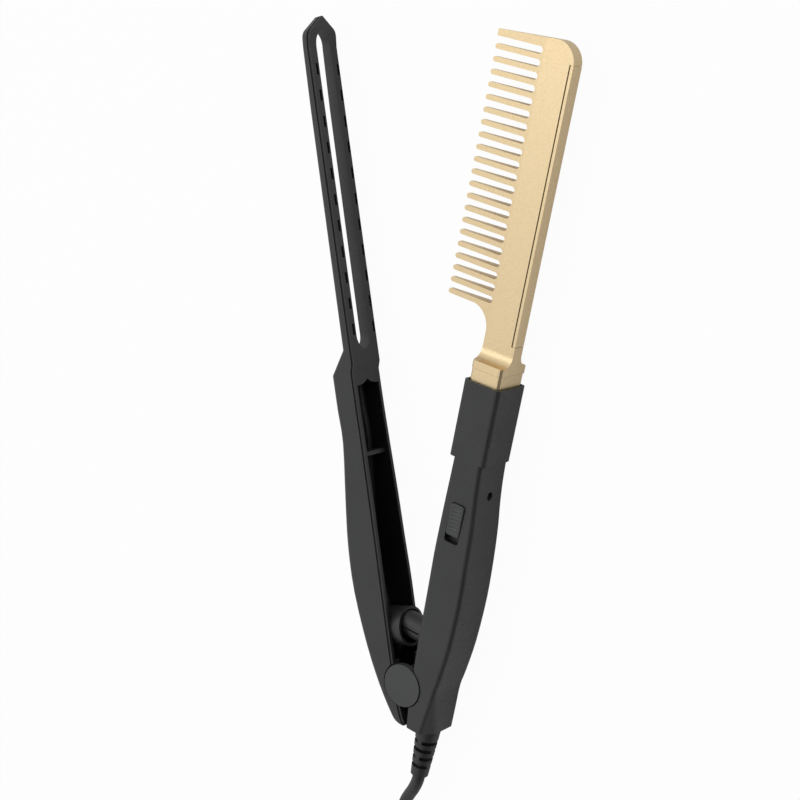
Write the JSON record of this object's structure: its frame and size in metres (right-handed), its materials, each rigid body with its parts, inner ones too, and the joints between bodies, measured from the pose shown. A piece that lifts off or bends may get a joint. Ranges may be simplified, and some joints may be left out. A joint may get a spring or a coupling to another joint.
{
  "type": "hot comb",
  "caption": "Corded hot comb: a heated metal comb on a slim plastic handle with a slide switch, and a sprung forked splint that presses the hair against the comb.",
  "frame": {"origin": "on the hinge axis, on the flat face of the hinge cap that the part rests on", "axes": "+Y runs up the handle to the end of the comb, +X to the comb's back, +Z out of the switch side, along the hinge"},
  "size_m": [0.1547, 0.4154, 0.0196],
  "materials": {
    "black_plastic": "fine moulded grain, matte",
    "cap_plastic": "smooth, matte",
    "button_plastic": "smooth, matte",
    "champagne_metal": "satin champagne gold",
    "insulator": "plain",
    "heater_ceramic": "dull ceramic",
    "electrode": "bare strip",
    "film": "film",
    "fuse_metal": "bright",
    "board": "laminate",
    "switch_plastic": "plain",
    "lens": "clear tinted",
    "wire": "insulated wire",
    "steel": "plated",
    "cord_rubber": "matte",
    "pin_metal": "nickel plated"
  },
  "bodies": {
    "handle": {"handle_housing": "black_plastic", "inner_cover": "black_plastic", "collar": "black_plastic", "spring_post": "black_plastic", "pivot_caps": "cap_plastic", "comb_blade": "champagne_metal", "comb_spine_cover": "champagne_metal", "comb_socket": "champagne_metal", "heat_insulator": "insulator", "heater_elements": "heater_ceramic", "heater_electrodes": "electrode", "heater_insulation": "film", "thermal_fuse": "fuse_metal", "circuit_board": "board", "switch_body": "switch_plastic", "cord_clamp": "switch_plastic", "indicator_light": "lens", "heater_wires": "wire", "supply_wires": "wire", "cover_screws": "steel", "comb_screws": "steel", "clamp_screws": "steel", "pivot_pin": "steel", "splint_washers": "steel", "compression_spring": "steel", "strain_relief": "cord_rubber", "cord_inner_end": "cord_rubber", "mains_cord": "cord_rubber", "cord_coil": "cord_rubber", "plug_body": "cord_rubber", "plug_pins": "pin_metal"},
    "splint_arm": {"splint": "black_plastic"},
    "switch": {"switch_button": "button_plastic"}
  },
  "joints": [
    {"name": "splint_hinge", "type": "hinge", "parent": "handle", "child": "splint_arm", "pos_m": [0, 0, 0.0098], "axis": [0, 0, 1], "range_deg": [-24, 0], "stiffness_Nm_per_rad": 0.5, "springref_deg": 14.32, "deforming": ["compression_spring"]},
    {"name": "switch_slide", "type": "slide", "parent": "handle", "child": "switch", "axis": [0, -1, 0], "range_m": [0, 0.0026]}
  ]
}
